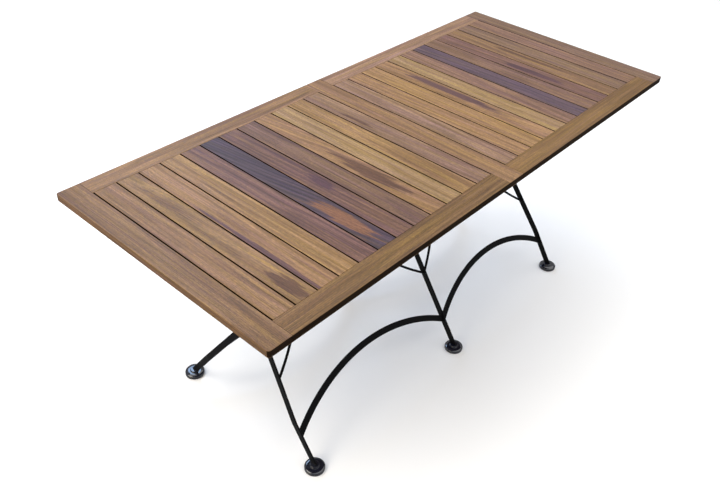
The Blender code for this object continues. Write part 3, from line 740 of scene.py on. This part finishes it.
def bolt_skin(length):
    """A threaded end at 0, a shank, and a domed head that ends at the length given."""
    turns = np.arange(0.0, BOLT_END + NUT_HEIGHT + THREAD_PITCH / 4, THREAD_PITCH / 2)
    crest = BOLT_RADIUS - THREAD_DEPTH * (np.arange(len(turns)) % 2 == 0)
    base = length - BOLT_HEAD_HEIGHT
    shank = [(BOLT_RADIUS, turns[-1] + THREAD_PITCH),
             (BOLT_RADIUS, base),
             (BOLT_HEAD_RADIUS - BOLT_HEAD_CHAMFER, base),
             (BOLT_HEAD_RADIUS, base + BOLT_HEAD_CHAMFER)]
    t = np.linspace(0.0, math.pi / 2, 9)[:-1]
    crown = BOLT_HEAD_HEIGHT - BOLT_HEAD_EDGE
    dome = np.stack([BOLT_HEAD_RADIUS * np.cos(t),
                     base + BOLT_HEAD_EDGE + crown * np.sin(t)], -1)
    return closed_skin(turned(np.concatenate([np.stack([crest, turns], -1), shank, dome])))


def nut_skin(start):
    """A hexagonal nut from start on, its corners cut back by a cone at both ends.

    The radius at an angle is half the flats / cos of the angle from the nearest flat, and
    never more than the cone allows.
    """
    turn = math.tau * np.arange(96) / 96
    off_flat = (turn + math.pi / 6) % (math.pi / 3) - math.pi / 6
    hexagon = NUT_FLATS / 2 / np.cos(off_flat)
    reach, cone = np.array(NUT_CONE).T
    reach = start + np.r_[reach, NUT_HEIGHT - reach[::-1]]
    cone = np.r_[cone, cone[::-1]] * NUT_FLATS / 2
    radius = np.minimum(hexagon, cone[:, None])
    points = np.empty((len(reach), len(turn), 3))
    points[..., 0] = reach[:, None]
    points[..., 1] = radius * np.cos(turn)
    points[..., 2] = radius * np.sin(turn)
    return closed_skin(points)


def tube_skin(low, high, inner, outer):
    """A short tube along X: a rounded rectangle turned about the line, closed on itself."""
    section = square_turns(rectangle((outer - inner) / 2, (high - low) / 2),
                           np.full(4, SPACER_EDGE), lead=SPACER_LEAD)
    return looped_skin(turned(section + ((outer + inner) / 2, (low + high) / 2)))


# Materials --------------------------------------------------------------------------


class Recipe:
    """A material's node tree, with short calls that add a node and give its output."""

    def __init__(self, name):
        self.material = bpy.data.materials.new(name)
        self.material.use_nodes = True
        self.tree = self.material.node_tree
        self.shader = self.tree.nodes["Principled BSDF"]

    def add(self, kind, inputs=(), output=0, **settings):
        node = self.tree.nodes.new("ShaderNode" + kind)
        for key, value in settings.items():
            setattr(node, key, value)
        for key, value in dict(inputs).items():
            self.feed(node.inputs[key], value)
        return node.outputs[output]

    def feed(self, socket, value):
        if isinstance(value, bpy.types.NodeSocket):
            self.tree.links.new(value, socket)
        else:
            socket.default_value = value

    def set(self, **values):
        for key, value in values.items():
            self.feed(self.shader.inputs[key.replace("_", " ")], value)

    def attribute(self, name, output="Color"):
        return self.add("Attribute", output=output, attribute_name=name)

    def place(self):
        return self.add("TexCoord", output="Object")

    def scaled(self, vector, by):
        return self.add("VectorMath", {0: vector, 1: by}, operation="MULTIPLY")

    def noise(self, vector, scale=1.0, detail=2.0, rough=0.5, twist=0.0):
        return self.add("TexNoise", {"Vector": vector, "Scale": scale, "Detail": detail,
                                     "Roughness": rough, "Distortion": twist})

    def sums(self, operation, first, second=0.0):
        return self.add("Math", {0: first, 1: second}, operation=operation)

    def span(self, value, low, high, to_low=0.0, to_high=1.0):
        """value taken from low..high to to_low..to_high, eased at both ends."""
        return self.add("MapRange", {"Value": value, "From Min": low, "From Max": high,
                                     "To Min": to_low, "To Max": to_high},
                        interpolation_type="SMOOTHSTEP")

    def mix(self, amount, first, second, blend="MIX"):
        return self.add("Mix", {0: amount, 6: first, 7: second}, output=2,
                        data_type="RGBA", blend_type=blend)

    def bump(self, height, distance, strength=1.0):
        return self.add("Bump", {"Height": height, "Distance": distance, "Strength": strength})


OLIVE_CAST = (1.04, 1.04, 0.82, 1.0)
VIOLET_CAST = (0.97, 0.93, 1.26, 1.0)
# Colour of the painted shade down the sides of the boards
PAINTED_SIDE_SHADE = (0.006, 0.003, 0.002, 1.0)


def grey(value):
    return (value, value, value, 1.0)


def oiled_timber():
    """Oiled hardwood: growth lines about a centre below the board, fibre, flecks, streaks.

    Down the sides that face a gap the timber is painted nearly black as painted shade, and the
    long outer sides are painted darker too.
    """
    wood = Recipe("oiled timber")
    grain = wood.attribute("grain", "Vector")
    # The growth lines wander a few millimetres as they run along the board.
    wander = wood.noise(wood.scaled(grain, (7.0, 2.4, 7.0)), detail=2.0)
    wander = wood.sums("MULTIPLY", wood.sums("SUBTRACT", wander, 0.5), 0.014)
    aside = wood.add("CombineXYZ", {"X": wander, "Z": wander})
    bent = wood.add("VectorMath", {0: grain, 1: aside}, operation="ADD")
    rings = wood.add("TexWave", {"Vector": wood.scaled(bent, (1.0, 0.05, 1.0)), "Scale": 34.0,
                                 "Distortion": 2.6, "Detail": 3.0, "Detail Scale": 1.4,
                                 "Detail Roughness": 0.6},
                     wave_type="RINGS", rings_direction="Y")
    bands = wood.noise(wood.scaled(bent, (120.0, 1.1, 120.0)), detail=5.0, rough=0.66)
    bands = wood.span(bands, 0.30, 0.70)
    tone = wood.sums("ADD", wood.sums("MULTIPLY", rings, 0.40),
                     wood.sums("MULTIPLY", bands, 0.60))
    colour = wood.mix(tone, wood.attribute("pale"), wood.attribute("deep"))
    # Olive to violet along the boards, as oil dries unevenly.
    cast = wood.noise(wood.scaled(bent, (110.0, 3.0, 110.0)), detail=4.0, rough=0.66)
    cast = wood.mix(wood.span(cast, 0.32, 0.68), OLIVE_CAST, VIOLET_CAST)
    colour = wood.mix(1.0, colour, cast, "MULTIPLY")
    # Stray streaks of another colour, long and slightly slanting.
    stray = wood.noise(wood.scaled(bent, (75.0, 2.4, 75.0)), detail=5.0, rough=0.62, twist=0.3)
    amount = wood.attribute("streak", "Alpha")
    away = wood.add("VectorMath", {0: wood.attribute("spot", "Vector")}, output="Value",
                    operation="LENGTH")
    edge = wood.sums("SUBTRACT", 0.78, wood.sums("MULTIPLY", amount, 0.42))
    edge = wood.sums("SUBTRACT", edge, wood.span(away, 0.1, 1.1, 0.36, 0.0))
    stray = wood.span(wood.sums("SUBTRACT", stray, edge), -0.02, 0.08, 0.0, 0.85)
    colour = wood.mix(stray, colour, wood.attribute("streak"))
    # Fibre: long light and dark lines, short flecks, and open pores.
    fibre = wood.noise(wood.scaled(bent, (430.0, 4.5, 430.0)), detail=6.0, rough=0.70)
    fibre = wood.span(fibre, 0.30, 0.70)
    fleck = wood.noise(wood.scaled(bent, (700.0, 120.0, 700.0)), detail=3.0, rough=0.75)
    fleck = wood.span(fleck, 0.30, 0.70)
    pores = wood.noise(wood.scaled(bent, (1100.0, 60.0, 1100.0)), detail=1.0)
    pores = wood.span(pores, 0.58, 0.70)
    colour = wood.mix(1.0, colour, wood.mix(fibre, grey(0.60), grey(1.40)), "MULTIPLY")
    colour = wood.mix(1.0, colour, wood.mix(fleck, grey(0.66), grey(1.34)), "MULTIPLY")
    colour = wood.mix(wood.sums("MULTIPLY", pores, 0.45), colour, wood.attribute("deep"))
    sunk = wood.attribute("sunk", "Fac")
    # The painted shade starts just below the top face and stops just above the bottom one.
    painted_shade = wood.sums("MULTIPLY", wood.span(sunk, 0.0002, 0.0010),
                     wood.span(sunk, 0.0170, 0.0195, 1.0, 0.0))
    painted_shade = wood.sums("MULTIPLY", painted_shade, wood.attribute("gap", "Fac"))
    colour = wood.mix(wood.sums("MULTIPLY", painted_shade, 0.97), colour, PAINTED_SIDE_SHADE)
    wood.set(Base_Color=colour)
    wood.set(Roughness=wood.span(fleck, 0.0, 1.0, 0.40, 0.58))
    # The painted shade also takes the sheen off those sides.
    wood.set(Specular_IOR_Level=wood.sums("MULTIPLY", wood.sums("SUBTRACT", 1.0, painted_shade), 0.26))
    relief = wood.sums("SUBTRACT", wood.sums("MULTIPLY", fibre, 0.5), pores)
    wood.set(Normal=wood.bump(relief, 0.00022, 0.6))
    return wood.material


def coated_steel():
    """Black powder coat: a fine pebbled skin, faintly dusty, a little uneven in sheen."""
    steel = Recipe("black coated steel")
    here = steel.place()
    pebble = steel.noise(here, 620.0, detail=2.0)
    patch = steel.noise(here, 16.0, detail=4.0, rough=0.6)
    dust = steel.noise(here, 210.0, detail=3.0, rough=0.7)
    dust = steel.sums("MULTIPLY", steel.span(dust, 0.52, 0.80), steel.span(patch, 0.35, 0.75))
    steel.set(Base_Color=steel.mix(dust, (0.001, 0.001, 0.0015, 1.0),
                                   (0.009, 0.009, 0.011, 1.0)))
    steel.set(Roughness=steel.span(patch, 0.25, 0.75, 0.36, 0.52))
    steel.set(Specular_IOR_Level=0.13)
    steel.set(Normal=steel.bump(steel.sums("ADD", pebble, steel.sums("MULTIPLY", dust, 0.4)),
                                0.00012, 0.5))
    return steel.material


def glossy_plastic():
    """Polished black plastic with faint rubbing marks."""
    plastic = Recipe("glossy black plastic")
    here = plastic.place()
    rub = plastic.noise(here, 90.0, detail=5.0, rough=0.7)
    ripple = plastic.noise(here, 70.0, detail=1.0)
    plastic.set(Base_Color=plastic.mix(rub, (0.004, 0.005, 0.011, 1.0),
                                       (0.010, 0.012, 0.022, 1.0)))
    plastic.set(Roughness=plastic.span(rub, 0.3, 0.8, 0.05, 0.20))
    plastic.set(Coat_Weight=0.5)
    plastic.set(Coat_Roughness=0.06)
    plastic.set(Normal=plastic.bump(ripple, 0.0006, 0.35))
    return plastic.material


def zinc_plate():
    """Zinc plated steel, brushed by its machining and slightly dulled."""
    zinc = Recipe("zinc plated steel")
    here = zinc.place()
    cloud = zinc.noise(here, 140.0, detail=4.0, rough=0.7)
    lines = zinc.noise(zinc.scaled(here, (1600.0, 260.0, 260.0)), detail=2.0)
    zinc.set(Base_Color=zinc.mix(cloud, (0.34, 0.34, 0.35, 1.0), grey(0.62)))
    zinc.set(Metallic=1.0)
    zinc.set(Roughness=zinc.span(cloud, 0.2, 0.8, 0.26, 0.48))
    zinc.set(Normal=zinc.bump(lines, 0.00005, 0.5))
    return zinc.material


TIMBER = oiled_timber()
STEEL = coated_steel()
PLASTIC = glossy_plastic()
ZINC = zinc_plate()

# Tabletop ---------------------------------------------------------------------------


def board(node, skin, along, timber, inner, seed):
    """Makes one board; along is the axis (0 or 1) that its grain follows."""
    marks = timber_marks(skin[0], along, *timber, seed)
    # How much painted shade the board's sides get.
    marks["gap"] = beside_gap(skin[0], inner)
    finished(f"{node}_board", skin, TIMBER, "tabletop", node, marks)


for number, (node, timber) in enumerate(zip(SLATS, SLAT_TIMBER)):
    board(node, slat_skin(*box_of(node)), 1, timber, (1, 1, 1, 1), SLAT_SEED + number)

for number, (edge, inward) in enumerate((("front", 1), ("rear", -1))):
    for side in ("left", "right"):
        node = f"long_rail_{edge}_{side}"
        low, high = box_of(node)
        # The node's box takes in its tenons, which stay inside the cross rails.
        inner = box_of("centre_rail")
        outer = box_of(f"end_rail_{side}")
        if side == "left":
            low[0], high[0] = outer[1][0] + FIT, inner[0][0] - FIT
        else:
            low[0], high[0] = inner[1][0] + FIT, outer[0][0] - FIT
        board(node, long_rail_skin(low, high, inward), 0, RAIL_TIMBER[node],
              (1, 1, inward < 0, inward > 0),
              LONG_RAIL_SEED + 2 * number + (side == "left"))

for number, (node, outer) in enumerate((("end_rail_left", -1), ("centre_rail", 0),
                                        ("end_rail_right", 1))):
    board(node, cross_rail_skin(*box_of(node), outer), 1, RAIL_TIMBER[node],
          (outer >= 0, outer <= 0, 0, 0), CROSS_RAIL_SEED + number)

# Leg frames -------------------------------------------------------------------------

LEG_RINGS = [leg_skin(index) for index in range(3)]
ARCH_RINGS = [arch_skin(0, 1), arch_skin(1, 2)]
FOOT = drilled(foot_skin(), (FOOT_HOLE_OFFSET, 0.0), FOOT_HOLE_RADIUS)


def world_side(side, frame_name):
    """The drawn frame's left is the rear frame's right, since that one is turned round."""
    if frame_name == "front":
        return side
    return {"left": "right", "middle": "middle", "right": "left"}[side]


def steelwork(name, node, frame_name, parts):
    """One steel piece of a leg frame, from parts drawn flat in that frame."""
    points, faces = joined(*parts)
    skin = (from_leg_frame(points, frame_name), faces)
    finished(name, skin, STEEL, f"{frame_name}_frame", node)


def rail_parts(low_x, high_x):
    """The round rail with its four braces and their welds."""
    parts = [rail_skin(low_x, high_x)]
    for left, right in ((0, 1), (1, 2)):
        run = (brace_foot(right, -1)[0] - brace_foot(left, 1)[0] - BRACE_GAP) / 2
        for index, side in ((left, 1), (right, -1)):
            rings = brace_skin(index, side, run)
            parts.append(closed_skin(rings))
            parts.append(weld_bead(rings[0], BRACE_WELD_RADIUS))
            parts.append(weld_bead(rings[-1], BRACE_WELD_RADIUS))
    return parts


for frame_name in ("front", "rear"):
    for rings, side in zip(LEG_RINGS, SIDES):
        node = f"leg_{frame_name}_{world_side(side, frame_name)}"
        parts = [closed_skin(rings, laddered=True), weld_bead(rings[-1])]
        steelwork(f"{node}_bar", node, frame_name, parts)
    for rings, side in zip(ARCH_RINGS, ("left", "right")):
        node = f"arch_{frame_name}_{world_side(side, frame_name)}"
        parts = [closed_skin(rings), weld_bead(rings[0]), weld_bead(rings[-1])]
        steelwork(f"{node}_bar", node, frame_name, parts)
    node = f"top_rail_{frame_name}"
    low, high = box_of(node)
    steelwork(f"{node}_rods", node, frame_name, rail_parts(low[0], high[0]))
    for side in SIDES:
        node = f"foot_{frame_name}_{side}"
        low, high = box_of(node)
        centre = (low + high) / 2
        # A foot's hole is on the side away from the middle of the table.
        way = 1.0 if centre[0] > 0 else -1.0
        points, faces = FOOT
        skin = (points * (way, way, 1.0) + (centre[0], centre[1], low[2]), faces)
        finished(f"{node}_pad", skin, PLASTIC, f"{frame_name}_frame", node,
                 sharp=FOOT_SHARP)

# Pivots, which the front frame carries ----------------------------------------------

for side in SIDES:
    node = f"pivot_bolt_{side}"
    low, high = box_of(node)
    points, faces = joined(bolt_skin(high[0] - low[0]), nut_skin(BOLT_END))
    # The left bolt is turned half round, so that its head is on the outside.
    if side == "left":
        points = points * (-1.0, -1.0, 1.0) + (high[0], 0.0, 0.0)
    else:
        points = points + (low[0], 0.0, 0.0)
    points[:, 1:] += PIVOT[1:]
    finished(f"{node}_zinc", (points, faces), ZINC, "front_frame", node)

low, high = box_of("pivot_spacer")
outer = (high[2] - low[2]) / 2
points, faces = tube_skin(low[0], high[0], outer - SPACER_WALL, outer)
points[:, 1:] += PIVOT[1:]
finished("pivot_spacer_tube", (points, faces), ZINC, "front_frame", "pivot_spacer")

# Brackets, which keep the frame's own shapes -----------------------------------------

for name, bracket in frame["nodes"].items():
    if name.startswith(("hinge_bracket", "hook_bracket")):
        bracket.data.materials.clear()
        bracket.data.materials.append(STEEL)

# Floor, light and camera ------------------------------------------------------------

FLOOR_DROP = 0.0004          # below the feet
ROOM_BRIGHT_WAY = (-0.15, 0.45, 1.0)
ROOM_COLOURS = ((0.0, (0.55, 0.55, 0.56, 1.0)), (0.8, (0.74, 0.76, 0.80, 1.0)))
ROOM_STRENGTH = 0.8
CAMERA_PLACE = (-1.5669, -1.1596, 1.8234)
CAMERA_TARGET = (-0.5676, -0.3309, 0.75)
CAMERA_ROLL = math.radians(3.519)
CAMERA_LENS = 37.72          # millimetres
CAMERA_SHIFT = 0.0292


def floor_material():
    pale = Recipe("pale floor")
    cloud = pale.noise(pale.place(), 3.0, detail=4.0)
    pale.set(Base_Color=pale.mix(cloud, grey(0.93), grey(0.96)))
    pale.set(Roughness=0.85)
    return pale.material


def floor_skin():
    """A wide flat disc, of rings that step outwards."""
    radius = np.array([0.001, 2.0, 8.0, 30.0])
    points = np.zeros((len(radius), 48, 3))
    points[..., :2] = radius[:, None, None] * circle(1.0, 48)
    points[..., 2] = -FLOOR_DROP
    faces = loft_faces(*points.shape[:2])[:, ::-1].tolist()
    faces.append(list(range(48)))
    return points.reshape(-1, 3), faces


def lay_floor():
    points, faces = floor_skin()
    mesh = bpy.data.meshes.new("studio_floor")
    mesh.from_pydata(points.tolist(), [], faces)
    mesh.materials.append(floor_material())
    ground = bpy.data.objects.new("studio_floor", mesh)
    bpy.context.scene.collection.objects.link(ground)
    # The table is lit by the room alone, not by light off the floor.
    ground.visible_diffuse = False
    ground.visible_glossy = False


lay_floor()


def aimed(item, place, target, roll=0.0):
    """Sets an object at a place so that its -Z looks at a target, then rolls it."""
    item.location = place
    turn = (Vector(target) - Vector(place)).to_track_quat("-Z", "Y").to_matrix()
    item.rotation_euler = (turn @ Matrix.Rotation(roll, 3, "Z")).to_euler()
    bpy.context.scene.collection.objects.link(item)


def soft_light(name, place, target, size, power, colour):
    """A rectangular light of a size in metres and a power in watts."""
    light = bpy.data.lights.new(name, "AREA")
    light.shape = "RECTANGLE"
    light.size, light.size_y = size
    light.energy = power
    light.color = colour
    aimed(bpy.data.objects.new(name, light), place, target)


# Warm from over the left end, blue as from a window at the rear, warm and low on the left
# end's edge, and a wide neutral one overhead.
soft_light("key", (-2.7, 1.5, 3.8), (0.0, 0.0, 0.6), (2.6, 2.6), 115.0, (1.0, 0.95, 0.86))
soft_light("window", (0.75, 2.6, 3.0), (-0.3, 0.1, 0.2), (1.3, 1.3), 42.0, (0.45, 0.66, 1.0))
soft_light("side", (-3.4, -0.1, 1.1), (-0.9, 0.0, 0.6), (1.6, 1.0), 34.0, (1.0, 0.84, 0.60))
soft_light("top", (0.9, -0.5, 4.2), (0.2, 0.0, 0.0), (6.5, 6.5), 190.0, (1.0, 0.99, 0.97))


def studio_world():
    """A pale room, brighter overhead and to the rear than low down and to the front."""
    world = bpy.data.worlds.new("studio")
    world.use_nodes = True
    tree = world.node_tree
    backdrop = tree.nodes["Background"]
    ways = tree.nodes.new("ShaderNodeTexCoord")
    lift = tree.nodes.new("ShaderNodeVectorMath")
    lift.operation = "DOT_PRODUCT"
    lift.inputs[1].default_value = ROOM_BRIGHT_WAY
    fade = tree.nodes.new("ShaderNodeValToRGB")
    for stop, (position, colour) in zip(fade.color_ramp.elements, ROOM_COLOURS):
        stop.position = position
        stop.color = colour
    tree.links.new(ways.outputs["Generated"], lift.inputs[0])
    tree.links.new(lift.outputs["Value"], fade.inputs["Fac"])
    tree.links.new(fade.outputs["Color"], backdrop.inputs["Color"])
    backdrop.inputs["Strength"].default_value = ROOM_STRENGTH
    return world


def standing_camera():
    """The camera at a standing viewer's height off the table's front left corner."""
    camera = bpy.data.cameras.new("camera")
    camera.sensor_width = 36.0
    camera.lens = CAMERA_LENS
    camera.shift_y = CAMERA_SHIFT
    stand = bpy.data.objects.new("camera", camera)
    aimed(stand, CAMERA_PLACE, CAMERA_TARGET, CAMERA_ROLL)
    return stand


scene = bpy.context.scene
scene.world = studio_world()
scene.camera = standing_camera()
scene.view_settings.view_transform = "Standard"
